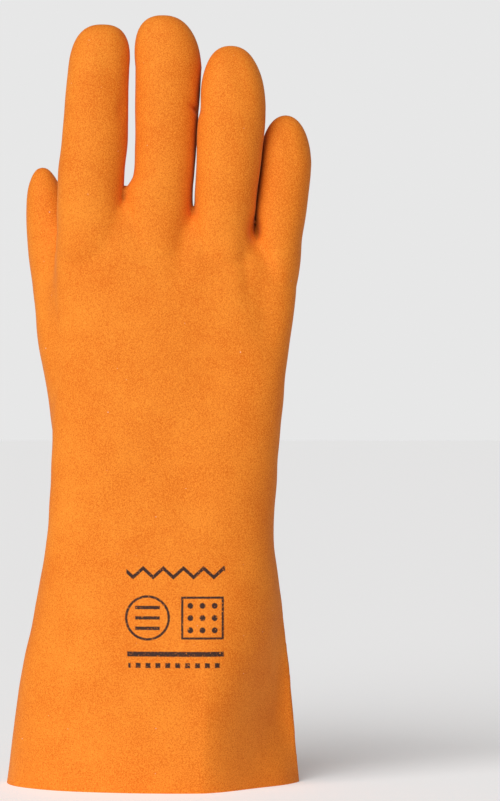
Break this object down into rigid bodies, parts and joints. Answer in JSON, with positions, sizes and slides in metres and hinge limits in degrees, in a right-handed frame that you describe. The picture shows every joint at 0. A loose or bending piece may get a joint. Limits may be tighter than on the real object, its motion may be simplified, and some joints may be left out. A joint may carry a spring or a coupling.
{
  "type": "pvc coated work glove",
  "caption": "Right-hand coated work gauntlet with a long flared cuff, standing on its open cuff edge with the fingers up and the thumb in front of the palm.",
  "frame": {"origin": "middle of the foot of the bounding box, on the plane of the cuff edge", "axes": "+Z from the cuff edge along the fingers, +Y to the palm side, -Y to the back of the hand, -X to the thumb side"},
  "size_m": [0.139, 0.0682, 0.35],
  "materials": {
    "coating": "matt, fine sandy grain"
  },
  "bodies": {
    "root": {"glove_shell": "coating"}
  },
  "joints": []
}
